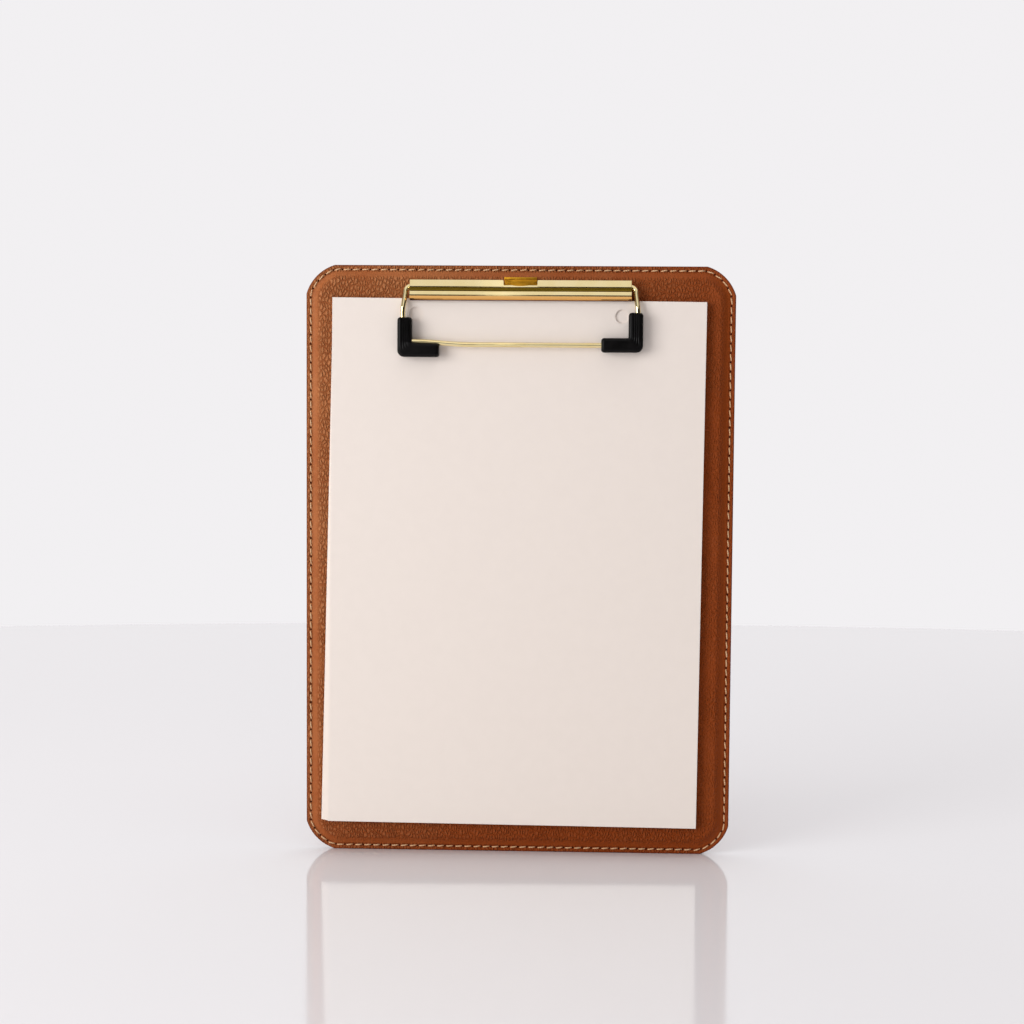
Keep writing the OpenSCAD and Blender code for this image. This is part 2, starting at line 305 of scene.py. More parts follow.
def pebbles(tree, vector, wide, tall, crease):
    """Height of pebbles wide by tall mm, from 0 in the crease to 1 on top."""
    scaled = add(tree, "ShaderNodeMapping", {"Vector": vector, "Scale": (1000 / wide, 1000 / tall, 1)})
    cells = add(tree, "ShaderNodeTexVoronoi", {"Vector": scaled, "Scale": 1.0, "Randomness": 1.0},
                feature="DISTANCE_TO_EDGE", voronoi_dimensions="2D")
    return add(tree, "ShaderNodeMapRange",
               {"Value": cells.outputs["Distance"], "From Min": 0.0, "From Max": crease}, **smooth)


large = pebbles(tree, bent, 1.15, 2.3, 0.36)
small = pebbles(tree, bent, 0.55, 0.9, 0.24)
grain_top = add(tree, "ShaderNodeMath", {0: small, 1: 0.3, 2: large},
                operation="MULTIPLY_ADD").outputs[0]
grain_top = add(tree, "ShaderNodeMath", {0: grain_top, 1: 1 / 1.3}, operation="MULTIPLY")
low_grain = add(tree, "ShaderNodeMath", {0: 1.0, 1: grain_top}, operation="SUBTRACT")
sunk = add(tree, "ShaderNodeMath", {0: low_grain, 1: slack_value}, operation="MULTIPLY").outputs[0]
# dye takes unevenly over patches of 15 to 40 mm, and in specks of 2 mm
patches = add(tree, "ShaderNodeTexNoise", {"Vector": place, "Scale": 38.0, "Detail": 3.0})
specks = add(tree, "ShaderNodeTexNoise", {"Vector": place, "Scale": 480.0, "Detail": 4.0})
share = add(tree, "ShaderNodeMapRange", {"Value": patches, "From Min": 0.35, "From Max": 0.65},
            **smooth)
dye_and_painted_light = add(tree, "ShaderNodeMix", {0: share, 6: srgb("#A45C30"), 7: srgb("#AE683B")}, **in_colour)
share = add(tree, "ShaderNodeMapRange",
            {"Value": specks, "From Min": 0.42, "From Max": 0.72, "To Min": 0.0, "To Max": 0.35},
            **smooth)
dye_and_painted_light = add(tree, "ShaderNodeMix", {0: share, 6: dye_and_painted_light, 7: srgb("#B87444")}, **in_colour)
# painted highlight: the tops of the pebbles are drawn lighter
painted_highlight_tops = add(tree, "ShaderNodeMath", {0: slack_value, 1: sunk}, operation="SUBTRACT").outputs[0]
share = add(tree, "ShaderNodeMapRange",
            {"Value": painted_highlight_tops, "From Min": 0.3, "From Max": 1.0, "To Min": 0.0, "To Max": 0.6}, **smooth)
dye_and_painted_light = add(tree, "ShaderNodeMix", {0: share, 6: dye_and_painted_light, 7: srgb("#CE8B5C")}, **in_colour)
# painted shade: the creases between the pebbles are drawn darker
share = add(tree, "ShaderNodeMapRange",
            {"Value": sunk, "From Min": 0.2, "From Max": 1.0, "To Min": 0.0, "To Max": 0.32}, **smooth)
dye_and_painted_light = add(tree, "ShaderNodeMix", {0: share, 6: dye_and_painted_light, 7: srgb("#66290E")}, **in_colour)
# painted shade: drawn darker towards its right and its foot
painted_shade_down_right = add(tree, "ShaderNodeMath", {0: spot.outputs["Z"], 1: -0.45, 2: spot.outputs["X"]},
           operation="MULTIPLY_ADD").outputs[0]
share = add(tree, "ShaderNodeMapRange",
            {"Value": painted_shade_down_right, "From Min": -0.11, "From Max": 0.06, "To Min": 0.0, "To Max": 0.85},
            **smooth)
dye_and_painted_light = add(tree, "ShaderNodeMix", {0: share, 6: dye_and_painted_light, 7: srgb("#8A3702")}, **in_colour)
dye_and_painted_light = add(tree, "ShaderNodeMix", {0: edge_value, 6: dye_and_painted_light, 7: srgb("#6E2B17")}, **in_colour)
# painted shade: the needle holes are drawn dark
share = add(tree, "ShaderNodeMapRange", {"Value": pit_value, "From Min": 0.05, "From Max": 0.6},
            **smooth)
dye_and_painted_light = add(tree, "ShaderNodeMix", {0: share, 6: dye_and_painted_light, 7: srgb("#3A1608")}, **in_colour)
# pores and hair creases finer than the pebbles, drawn at 0.3 mm
pores = add(tree, "ShaderNodeTexNoise", {"Vector": place, "Scale": 3300.0, "Detail": 3.0})
pore_bump = add(tree, "ShaderNodeBump", {"Height": pores, "Strength": 0.25, "Distance": 0.00006})
raised = add(tree, "ShaderNodeMath", {0: sunk, 1: -1.0}, operation="MULTIPLY")
roughness = add(tree, "ShaderNodeMapRange",
                {"Value": sunk, "From Min": 0.0, "From Max": 0.8, "To Min": 0.46, "To Max": 0.72},
                **smooth)
bump = add(tree, "ShaderNodeBump",
           {"Height": raised, "Strength": 1.0, "Distance": 0.0006, "Normal": pore_bump})
finish_material(tree, Base_Color=dye_and_painted_light, Roughness=roughness, Specular_IOR_Level=0.12, Normal=bump)

front_leather = make_piece("front_leather_skin", front_points, front_faces, leather)
store(front_leather, slack=slack, pit=pit, cut_edge=cut_edge)
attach(front_leather, "board")
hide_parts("front_leather")

# The back skin is flat, with a furrow that the bobbin thread lies in
back_rows = [(0.10, 1.2), (0.0, 1.08), (0.0, 0.45), (0.08, 0.2), (0.28, 0.04), (0.6, 0.0),
             (1.05, 0.0), (1.3, 0.2), (1.55, 0.48), (1.8, 0.56), (2.05, 0.48), (2.3, 0.2),
             (2.55, 0.0), (4.0, 0.0)]
back_points, pit, cut_edge = [], [], []
for inset, height in back_rows:
    pits = pit_depth(inset) if 1.2 < inset < 2.4 else np.zeros(around)
    back_points += [(x, y, height + 0.25 * depth)
                    for (x, y), depth in zip(outline(inset, marks), pits)]
    pit += list(pits)
    cut_edge += [1.0 if inset < 0.2 else 0.4 if inset < 0.5 else 0.0] * around
back_count = len(back_rows)
back_faces = [face[::-1] for face in ring_faces(back_count, around)]
back_points += [(0, 0, 0), (0, 0, leather_t)]
back_faces += fan(range((back_count - 1) * around, back_count * around),
                  len(back_points) - 2, flip=True)
back_faces += fan(range(around), len(back_points) - 1)
back_leather = make_piece("back_leather_skin", back_points, back_faces, leather)
store(back_leather, slack=[0.75] * len(back_points), pit=pit, cut_edge=cut_edge)
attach(back_leather, "board")
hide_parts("back_leather")

# ---------------------------------------------------------------- seam
# One row of machine lockstitch in 0.54 mm waxed polyester, a stitch every 3.7 mm, 1.8 mm in
# from the edge. Each stitch dives into its needle hole at both ends and lies a little askew.


# Waxed twisted polyester: golden tan, with the ply of the twist showing and a dull wax shine
thread, tree, place = blank_material("waxed_polyester_thread")
run = add(tree, "ShaderNodeAttribute", attribute_name="run").outputs["Fac"]
turn_round = add(tree, "ShaderNodeAttribute", attribute_name="turn_round").outputs["Fac"]
# three plies that wind once in 2 mm, so a ridge passes every 0.7 mm
wound = add(tree, "ShaderNodeMath", {0: run, 1: 3000.0 * math.pi, 2: 0.0}, operation="MULTIPLY_ADD")
phase = add(tree, "ShaderNodeMath", {0: turn_round, 1: 2 * math.pi, 2: wound},
            operation="MULTIPLY_ADD")
ply = add(tree, "ShaderNodeMath", {0: phase}, operation="SINE").outputs[0]
fuzz = add(tree, "ShaderNodeTexNoise", {"Vector": place, "Scale": 700.0, "Detail": 2.0})
# painted shade: darker down between the plies, lighter on their crests
share = add(tree, "ShaderNodeMapRange", {"Value": ply, "From Min": -1.0, "From Max": 0.6}, **smooth)
ply_painted_shade = add(tree, "ShaderNodeMix", {0: share, 6: srgb("#C9955F"), 7: srgb("#F0CBA0")}, **in_colour)
share = add(tree, "ShaderNodeMapRange",
            {"Value": fuzz, "From Min": 0.4, "From Max": 0.7, "To Min": 0.0, "To Max": 0.5}, **smooth)
colour = add(tree, "ShaderNodeMix", {0: share, 6: ply_painted_shade, 7: srgb("#D8A56C")}, **in_colour)
bump = add(tree, "ShaderNodeBump", {"Height": ply, "Strength": 0.5, "Distance": 0.00008})
finish_material(tree, Base_Color=colour, Roughness=0.55, Sheen_Weight=0.25, Normal=bump)


def stitch_tree():
    """Geometry Nodes that lay slanted stitches at even steps along a path."""
    group = bpy.data.node_groups.new("row_of_stitches", "GeometryNodeTree")
    face = group.interface
    face.new_socket("Path", in_out="INPUT", socket_type="NodeSocketGeometry")
    for label in ("Stitch Length", "Thread Radius", "Dive", "Slant", "Slant Spread"):
        face.new_socket(label, in_out="INPUT", socket_type="NodeSocketFloat")
    for label in ("Stitch Count", "Seed"):
        face.new_socket(label, in_out="INPUT", socket_type="NodeSocketInt")
    face.new_socket("Thread Material", in_out="INPUT", socket_type="NodeSocketMaterial")
    face.new_socket("Stitches", in_out="OUTPUT", socket_type="NodeSocketGeometry")
    given = add(group, "NodeGroupInput").outputs

    # one stitch: a short thread, fat in its middle, that sinks at both ends
    half = add(group, "ShaderNodeMath", {0: given["Stitch Length"], 1: 0.5}, operation="MULTIPLY")
    back = add(group, "ShaderNodeMath", {0: half, 1: -1.0}, operation="MULTIPLY")
    start = add(group, "ShaderNodeCombineXYZ", {"X": back})
    end = add(group, "ShaderNodeCombineXYZ", {"X": half})
    line = add(group, "GeometryNodeCurvePrimitiveLine", {"Start": start, "End": end})
    line = add(group, "GeometryNodeResampleCurve", {"Curve": line, "Count": 8})
    share = add(group, "GeometryNodeSplineParameter").outputs["Factor"]
    # 0 in the middle of the stitch, and steeply up to 1 at both ends
    doubled = add(group, "ShaderNodeMath", {0: share, 1: 2.0}, operation="MULTIPLY")
    from_middle = add(group, "ShaderNodeMath", {0: doubled, 1: 1.0}, operation="SUBTRACT")
    from_middle = add(group, "ShaderNodeMath", {0: from_middle}, operation="ABSOLUTE")
    near_end = add(group, "ShaderNodeMath", {0: from_middle, 1: 3.0}, operation="POWER")
    dive = add(group, "ShaderNodeMath", {0: near_end, 1: given["Dive"]}, operation="MULTIPLY")
    dive = add(group, "ShaderNodeMath", {0: dive, 1: -1.0}, operation="MULTIPLY")
    sink = add(group, "ShaderNodeCombineXYZ", {"Z": dive})
    line = add(group, "GeometryNodeSetPosition", {"Geometry": line, "Offset": sink})
    line = add(group, "GeometryNodeStoreNamedAttribute",
               {"Geometry": line, "Name": "run",
                "Value": add(group, "GeometryNodeSplineParameter").outputs["Length"]})
    thinned = add(group, "ShaderNodeMath", {0: near_end, 1: 0.45}, operation="MULTIPLY")
    girth = add(group, "ShaderNodeMath", {0: 1.0, 1: thinned}, operation="SUBTRACT")
    section = add(group, "GeometryNodeCurvePrimitiveCircle",
                  {"Resolution": 7, "Radius": given["Thread Radius"]})
    section = add(group, "GeometryNodeStoreNamedAttribute",
                  {"Geometry": section, "Name": "turn_round",
                   "Value": add(group, "GeometryNodeSplineParameter").outputs["Factor"]})
    bar = add(group, "GeometryNodeCurveToMesh",
              {"Curve": line, "Profile Curve": section, "Scale": girth, "Fill Caps": True})

    # the row
    row = add(group, "GeometryNodeMeshToCurve", {"Mesh": given["Path"]})
    row = add(group, "GeometryNodeResampleCurve", {"Curve": row, "Count": given["Stitch Count"]})
    turn = add(group, "FunctionNodeAxesToRotation",
               {"Primary Axis": add(group, "GeometryNodeInputTangent"),
                "Secondary Axis": (0.0, 0.0, 1.0)}, primary_axis="X", secondary_axis="Z")
    low = add(group, "ShaderNodeMath", {0: given["Slant"], 1: given["Slant Spread"]},
              operation="SUBTRACT")
    high = add(group, "ShaderNodeMath", {0: given["Slant"], 1: given["Slant Spread"]}, operation="ADD")
    slant = add(group, "FunctionNodeRandomValue", {"Seed": given["Seed"]}, data_type="FLOAT")
    floats = [s for s in slant.inputs if s.type == "VALUE"]
    group.links.new(low.outputs[0], floats[0])
    group.links.new(high.outputs[0], floats[1])
    askew = add(group, "FunctionNodeAxisAngleToRotation",
                {"Axis": (0.0, 0.0, 1.0),
                 "Angle": next(s for s in slant.outputs if s.type == "VALUE")})
    turn = add(group, "FunctionNodeRotateRotation",
               {"Rotation": turn, "Rotate By": askew}, rotation_space="LOCAL")
    laid = add(group, "GeometryNodeInstanceOnPoints",
               {"Points": row, "Instance": bar, "Rotation": turn})
    laid = add(group, "GeometryNodeRealizeInstances", {"Geometry": laid})
    laid = add(group, "GeometryNodeSetShadeSmooth", {"Geometry": laid})
    laid = add(group, "GeometryNodeSetMaterial",
               {"Geometry": laid, "Material": given["Thread Material"]})
    add(group, "NodeGroupOutput", {"Stitches": laid})
    return group


def sew(name, tree, height, facing, **sizes):
    """Row of stitches along the seam at a height, facing out of the face (1) or the back (-1)."""
    path = np.roll(outline(seam_inset, marks), -steps_per_stitch // 2, axis=0)
    path = path if facing > 0 else np.roll(path[::-1], 1, axis=0)
    mesh = bpy.data.meshes.new(name)
    mesh.from_pydata([(x * 0.001 * facing, y * 0.001, 0.0) for x, y in path],
                     [(i, (i + 1) % len(path)) for i in range(len(path))], [])
    holder = bpy.data.objects.new(name + "_path", mesh)
    scene.collection.objects.link(holder)
    laid = holder.modifiers.new("stitches", "NODES")
    laid.node_group = tree
    for item in tree.interface.items_tree:
        if item.in_out == "INPUT" and item.name in sizes:
            laid[item.identifier] = sizes[item.name]
    graph = bpy.context.evaluated_depsgraph_get()
    made = bpy.data.meshes.new_from_object(holder.evaluated_get(graph),
                                           preserve_all_data_layers=True, depsgraph=graph)
    bpy.data.objects.remove(holder)
    if facing < 0:
        made.transform(Matrix.Rotation(math.pi, 4, "Y"))
    made.transform(Matrix.Translation((0, 0, height * 0.001)))
    made.transform(Matrix.Rotation(math.pi / 2, 4, "X"))
    made.name = name
    piece = bpy.data.objects.new(name, made)
    scene.collection.objects.link(piece)
    return piece


front_seam_z, back_seam_z = 2.44, 0.36
stitches = stitch_tree()
stitch_sizes = {"Stitch Length": 0.0031, "Thread Radius": thread_d / 2000, "Dive": 0.0007,
                "Slant Spread": 0.05, "Stitch Count": stitch_count, "Seed": 4,
                "Thread Material": thread}
front_seam = sew("front_seam_stitches", stitches, front_seam_z, 1, Slant=0.12, **stitch_sizes)
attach(front_seam, "board")
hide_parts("front_seam")
back_seam = sew("back_seam_stitches", stitches, back_seam_z, -1, Slant=0.10, **stitch_sizes)
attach(back_seam, "board")
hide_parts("back_seam")

# ---------------------------------------------------------------- clip base
# A pressed plate of 0.8 mm steel that lies on the leather under the lever, with an ear at
# each end for the wire and a tongue turned up behind the notch. Only its amber floor and
# rim show, through the lever's notch.


# Bright brass plating on polished steel: pale gold, a mirror with a slight haze
gold, tree, place = blank_material("bright_brass_plate")
# painted shade darkens the lever's groove and the underside of its lip, and a painted reflection turns
# the bead's lower side orange
tarnish = add(tree, "ShaderNodeAttribute", attribute_name="tarnish").outputs["Fac"]
lacquer = add(tree, "ShaderNodeAttribute", attribute_name="lacquer").outputs["Fac"]
haze = add(tree, "ShaderNodeTexNoise", {"Vector": place, "Scale": 140.0, "Detail": 3.0})
ripple = add(tree, "ShaderNodeTexNoise", {"Vector": place, "Scale": 90.0, "Detail": 1.0})
share = add(tree, "ShaderNodeMapRange", {"Value": haze, "From Min": 0.3, "From Max": 0.7}, **smooth)
plating_and_painted_light = add(tree, "ShaderNodeMix", {0: share, 6: srgb("#EFDCA2"), 7: srgb("#F3E2AE")}, **in_colour)
plating_and_painted_light = add(tree, "ShaderNodeMix", {0: lacquer, 6: plating_and_painted_light, 7: srgb("#EEB66A")}, **in_colour)
plating_and_painted_light = add(tree, "ShaderNodeMix",
             {0: tarnish, 6: plating_and_painted_light,
              7: add(tree, "ShaderNodeMix", {0: lacquer, 6: srgb("#77611C"), 7: srgb("#551B07")},
                     **in_colour)}, **in_colour)
roughness = add(tree, "ShaderNodeMapRange",
                {"Value": tarnish, "From Min": 0.0, "From Max": 1.0, "To Min": 0.07, "To Max": 0.25},
                **smooth)
bump = add(tree, "ShaderNodeBump", {"Height": ripple, "Strength": 0.08, "Distance": 0.0003})
finish_material(tree, Base_Color=plating_and_painted_light, Metallic=1.0, Roughness=roughness, Normal=bump)

# Brass plate of the base: painted a deeper amber than the lever for the shade in the notch's recess,
# and duller
recess_shaded_brass, tree, place = blank_material("lacquered_amber_brass")
haze = add(tree, "ShaderNodeTexNoise", {"Vector": place, "Scale": 400.0, "Detail": 3.0})
share = add(tree, "ShaderNodeMapRange", {"Value": haze, "From Min": 0.3, "From Max": 0.7}, **smooth)
colour = add(tree, "ShaderNodeMix", {0: share, 6: srgb("#D59A25"), 7: srgb("#E0A630")}, **in_colour)
roughness = add(tree, "ShaderNodeMapRange",
                {"Value": haze, "From Min": 0.35, "From Max": 0.7, "To Min": 0.32, "To Max": 0.4},
                **smooth)
finish_material(tree, Base_Color=colour, Metallic=1.0, Roughness=roughness)


def eased_copy(node, name, width):
    """Copy of a CAD node, merged to one skin, with its sharp edges eased."""
    mesh = nodes[node].data.copy()
    mesh.name = name
    piece = bpy.data.objects.new(name, mesh)
    scene.collection.objects.link(piece)
    weld = piece.modifiers.new("weld", "WELD")
    weld.merge_threshold = 0.000004
    flat = piece.modifiers.new("flat", "DECIMATE")
    flat.decimate_type = "DISSOLVE"
    flat.angle_limit = math.radians(1)
    ease = piece.modifiers.new("ease", "BEVEL")
    ease.width = width * 0.001
    ease.segments = 2
    ease.angle_limit = math.radians(35)
    made = bpy.data.meshes.new_from_object(piece.evaluated_get(
        bpy.context.evaluated_depsgraph_get()))
    bpy.data.objects.remove(piece)
    piece = bpy.data.objects.new(name, made)
    scene.collection.objects.link(piece)
    made.shade_smooth()
    made.set_sharp_from_angle(angle=math.radians(32))
    return piece


base_plate = eased_copy("clip_base", "clip_base_plate", 0.12)
base_plate.data.materials.clear()
base_plate.data.materials.append(recess_shaded_brass)
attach(base_plate, "board")
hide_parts("clip_base")

# ---------------------------------------------------------------- rivets and washers
# Two domed brass-plated rivets hold the base to the board, under the lever. Each is set
# over a plain zinc washer in a pocket in the back of the core.
clip_x, pivot_y, pivot_z = 0.2, 109.5, 7.4
rivet_reach, rivet_y = 30, 107.7
rivet_spots = [(clip_x + side * rivet_reach, rivet_y) for side in (-1, 1)]


def turned(profile, spots, sides=40, closed=False):
    """Points and faces of a section of (radius, height) turned about each spot."""
    points, faces = [], []
    for x, y in spots:
        first = len(points)
        for radius, height in profile:
            points += [(x + radius * math.cos(a), y + radius * math.sin(a), height)
                       for a in np.linspace(0, 2 * math.pi, sides, endpoint=False)]
        rows = len(profile)
        faces += ring_faces(rows, sides, first)
        last = first + (rows - 1) * sides
        if closed:
            faces += [(last + i, last + (i + 1) % sides, first + (i + 1) % sides, first + i)
                      for i in range(sides)]
        else:
            points += [(x, y, profile[0][1]), (x, y, profile[-1][1])]
            faces += fan(range(first, first + sides), len(points) - 2, flip=True)
            faces += fan(range(last, last + sides), len(points) - 1)
    return points, faces


rivet_profile = [(2.0, 1.25), (2.2, 1.35), (2.2, 1.65), (2.1, 1.75), (1.5, 1.75), (1.5, 5.6),
                 (2.3, 5.6), (2.4, 5.7), (2.36, 5.92), (2.2, 6.16), (1.9, 6.33), (1.4, 6.44),
                 (0.7, 6.49), (0.2, 6.5)]
rivets = make_piece("clip_rivets_domed", *turned(rivet_profile, rivet_spots), gold, 40)
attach(rivets, "board")
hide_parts("clip_rivets")

# Zinc-plated washer steel: cool grey, evenly dull from barrel plating
zinc, tree, place = blank_material("barrel_plated_zinc")
bloom = add(tree, "ShaderNodeTexNoise", {"Vector": place, "Scale": 800.0, "Detail": 4.0})
share = add(tree, "ShaderNodeMapRange", {"Value": bloom, "From Min": 0.3, "From Max": 0.7}, **smooth)
colour = add(tree, "ShaderNodeMix", {0: share, 6: srgb("#B4B7BB"), 7: srgb("#CDCFD2")}, **in_colour)
roughness = add(tree, "ShaderNodeMapRange",
                {"Value": bloom, "From Min": 0.3, "From Max": 0.7, "To Min": 0.3, "To Max": 0.48},
                **smooth)
bump = add(tree, "ShaderNodeBump", {"Height": bloom, "Strength": 0.1, "Distance": 0.00004})
finish_material(tree, Base_Color=colour, Metallic=1.0, Roughness=roughness, Normal=bump)
washer_profile = [(1.55, 1.8), (3.4, 1.76), (3.5, 1.84), (3.5, 2.16), (3.42, 2.25), (1.62, 2.25),
                  (1.55, 2.18)]
washers = make_piece("rivet_washers_stamped", *turned(washer_profile, rivet_spots, closed=True),
                     zinc, 40)
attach(washers, "board")
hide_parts("rivet_washers")

# ---------------------------------------------------------------- lever
# One strip of 0.7 mm steel, rolled into a flat flange, a groove and a half-round bead with
# a short lip, notched in the middle of its flange, and plated pale gold. Two tabs
# under it curl round the wire, which is its hinge.
lever_half, sheet_t = 43.75, 0.7
tilt = math.radians(8)
flange_gap, flange_end, flange_foot = 1.75, 2.127, 0.058
groove_at, groove_r, bead_at, bead_r = (-1.15, 3.0), 0.8, (-3.687, 1.7), 2.05
lip_z = 0.85


def flange_point(reach, away):
    """Point of the leaning flange, reach along it and away from the pivot."""
    return (reach * math.cos(tilt) + away * math.sin(tilt),
            away * math.cos(tilt) - reach * math.sin(tilt))


def arc(centre, radius, start, end, count):
    return [(centre[0] + radius * math.cos(math.radians(a)),
             centre[1] + radius * math.sin(math.radians(a)))
            for a in np.linspace(start, end, count)]


def lever_section(end):
    """Closed section of the lever whose flange stops at end, from pivot, outer side first."""
    outer_away, inner_away = flange_gap + sheet_t, flange_gap
    corner = 0.2
    tip = [flange_point(end - corner + corner * math.sin(a),
                        outer_away - corner + corner * math.cos(a))
           for a in np.linspace(math.pi / 2, 0, 5)]
    flange = [flange_point(s, outer_away) for s in np.linspace(end - corner, -0.72, 8)[1:]]
    crease = [flange_point(-0.79, outer_away - 0.015), flange_point(-0.835, outer_away - 0.06)]
    groove = arc(groove_at, groove_r, -38, -152.9, 16)
    bead = arc(bead_at, bead_r, 27.1, 180, 30)[1:]
    low = bead_at[0] - bead_r
    lip = [(low, 1.4), (low, lip_z + 0.2), (low + 0.06, lip_z + 0.06), (low + 0.2, lip_z),
           (low + sheet_t - 0.2, lip_z), (low + sheet_t - 0.06, lip_z + 0.06),
           (low + sheet_t, lip_z + 0.2), (low + sheet_t, 1.4)]
    inner_bead = arc(bead_at, bead_r - sheet_t, 180, 27.1, 22)
    inner_groove = arc(groove_at, groove_r + sheet_t, -152.9, -53, 16)[1:]
    inner_flange = [flange_point(s, inner_away) for s in np.linspace(-0.42, end - corner, 8)]
    back_tip = [flange_point(end - corner + corner * math.sin(a),
                             inner_away + corner - corner * math.cos(a))
                for a in np.linspace(0, math.pi / 2, 5)[1:]]
    return np.array(tip + flange + crease + groove + bead + lip + inner_bead + inner_groove
                    + inner_flange + back_tip)


def shrunk(section, amount):
    """Section drawn in by a small amount, to ease the end of a piece."""
    ahead, behind = np.roll(section, -1, axis=0), np.roll(section, 1, axis=0)
    along = ahead - behind
    normal = np.column_stack((-along[:, 1], along[:, 0]))
    normal /= np.linalg.norm(normal, axis=1)[:, None]
    turn = np.sign((section[:, 0] * np.roll(section[:, 1], -1)
                    - np.roll(section[:, 0], -1) * section[:, 1]).sum())
    return section + normal * amount * turn


# Where the flange ends at each distance from the middle: floor of the notch with its
# shallow dip, inner fillet, wall, rounded outer corner, full flange
notch_edge = [(x, flange_foot - 0.28 * max(0.0, 1 - (x / 3.3) ** 2)) for x in
              (0, 0.7, 1.4, 2.1, 2.7, 3.1, 3.3, 4.5, 6.1)]
notch_edge += [(6.45, 0.09), (6.6, 0.2), (6.66, 0.4), (6.68, 1.0), (6.69, 1.8), (6.72, 1.96),
               (6.8, 2.06), (6.92, 2.11), (7.1, flange_end)]
stations = [(x, end, 0.0) for x, end in notch_edge]
stations += [(x, flange_end, 0.0) for x in np.linspace(9, lever_half - 0.3, 14)]
stations += [(lever_half - 0.12, flange_end, 0.0), (lever_half - 0.04, flange_end, 0.05),
             (lever_half, flange_end, 0.14)]
stations = [(-x, end, drawn_in) for x, end, drawn_in in stations[:0:-1]] + stations
lever_points, lever_faces = [], []
for x, end, drawn_in in stations:
    section = shrunk(lever_section(end), drawn_in) if drawn_in else lever_section(end)
    lever_points += [(clip_x + x, pivot_y + y, pivot_z + z) for y, z in section]
section_count = len(lever_section(flange_end))
lever_faces = ring_faces(len(stations), section_count)
lever_faces += [tuple(range(section_count))[::-1],
                tuple(range((len(stations) - 1) * section_count,
                            len(stations) * section_count))]
# tabs curled round the wire
pin_hole, curl_out, curl_half, curl_x = 1.05, 1.55, 1.4, 38.2
curl_from, curl_to = 112, 428
for side in (-1, 1):
    strip = arc((0, 0), curl_out, curl_from, curl_to, 40)
    strip += arc((0, 0), pin_hole, curl_to, curl_from, 40)
    strip = [(-0.55, flange_gap + 0.25)] + strip + [(-0.02, flange_gap + 0.25)]
    ring = np.array(strip)
    for at, drawn_in in ((-curl_half, 0.06), (-curl_half + 0.08, 0.0),
                         (curl_half - 0.08, 0.0), (curl_half, 0.06)):
        shape = shrunk(ring, drawn_in) if drawn_in else ring
        lever_points += [(clip_x + side * curl_x + at, pivot_y + y, pivot_z + z)
                         for y, z in shape]
    first = len(lever_points) - 4 * len(ring)
    lever_faces += [face[::-1] for face in ring_faces(4, len(ring), first)]
    lever_faces += [tuple(range(first, first + len(ring))),
                    tuple(range(len(lever_points) - len(ring), len(lever_points)))[::-1]]
lever = make_piece("clip_lever_bar", lever_points, lever_faces, gold, 30)


def painted_band(points, low, high, from_z):
    """Share of a band across the lever, between two distances from the pivot, above from_z."""
    y, z = np.array(points)[:, 1] - pivot_y, np.array(points)[:, 2] - pivot_z
    edge = smooth_step((y - low) / 0.35 + 0.5) * smooth_step((high - y) / 0.25 + 0.5)
    return edge * smooth_step((z - from_z) / 0.3)


# painted shade and a painted reflection: its plating is drawn dark in the groove and under the lip, and
# more orange low on the bead
store(lever, tarnish=np.maximum(painted_band(lever_points, -1.85, -0.42, 1.5),
                                painted_band(lever_points, -6.0, -5.4, -1.0)),
      lacquer=painted_band(lever_points, -6.0, -3.9, 1.2))
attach(lever, "lever")
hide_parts("clip_lever")

# ---------------------------------------------------------------- wire bail
# One 2 mm spring-steel wire, plated like the lever: its turned-in ends are the hinge pins,
# its legs climb off the board and spring out a little, and its crossbar lies over the paper.
wire_r, leg_x, bail_reach = 1.0, 45.5, 23.0
spring_from, spring_long, spring_out = 1.5, 19.0, 0.85
hump_rise, hump_from, hump_wide = 1.1, 20, 22
top_bend_r, elbow_r, bar_bend_r = 2.5, 4.0, 3.0
climb = math.radians(20)
rubber_t, rubber_w, rubber_low = 5.2, 5.7, 7.85
bail_z = rubber_low + rubber_t / 2 - pivot_z
leg_l = ((bail_z - top_bend_r * math.sin(climb) - elbow_r * (1 - math.cos(climb)))
         / math.sin(climb))


def leg_spring(y):
    """How far a leg springs outwards at y below the pivot."""
    share = np.clip((-y - spring_from) / spring_long, 0, 1)
    return spring_out * np.sin(np.pi * share) ** 2


down = np.array((0, -math.cos(climb), math.sin(climb)))
inward = np.array((0, -math.sin(climb), -math.cos(climb)))
across = np.array((1.0, 0, 0))
bend_centre = np.array((leg_x - top_bend_r, 0, 0)) + top_bend_r * down
path = [np.array((x, 0.0, 0.0)) for x in (35.4, 35.5, 37, 40, 42)]
path += [bend_centre + top_bend_r * (across * math.sin(a) - down * math.cos(a))
         for a in np.linspace(0, math.pi / 2, 14)]
leg_top = bend_centre + top_bend_r * across
path += [leg_top + down * leg_l * s for s in np.linspace(0, 1, 10)[1:]]
elbow_centre = leg_top + down * leg_l + elbow_r * inward
path += [elbow_centre + elbow_r * (down * math.sin(a) - inward * math.cos(a))
         for a in np.linspace(0, climb, 8)[1:]]
elbow_y = path[-1][1]
path += [np.array((leg_x, y, bail_z))
         for y in np.linspace(elbow_y, bar_bend_r - bail_reach, 12)[1:]]
path += [np.array((leg_x - bar_bend_r + bar_bend_r * math.cos(a),
                   bar_bend_r - bail_reach - bar_bend_r * math.sin(a), bail_z))
         for a in np.linspace(0, math.pi / 2, 12)[1:]]
path += [np.array((x, -bail_reach, bail_z)) for x in np.linspace(leg_x - bar_bend_r, 0, 12)[1:]]
half_path = np.array(path)
half_path[:, 0] += leg_spring(half_path[:, 1]) * (half_path[:, 0] > leg_x - 4)
left_path = (half_path * (-1, 1, 1))[-2::-1]
# the crossbar stands a little higher near its left rubber
left_path[:, 1] += (hump_rise * smooth_step((-left_path[:, 0] - hump_from) / hump_wide)
                    * (left_path[:, 1] < -16))
wire_path = np.vstack((half_path, left_path))


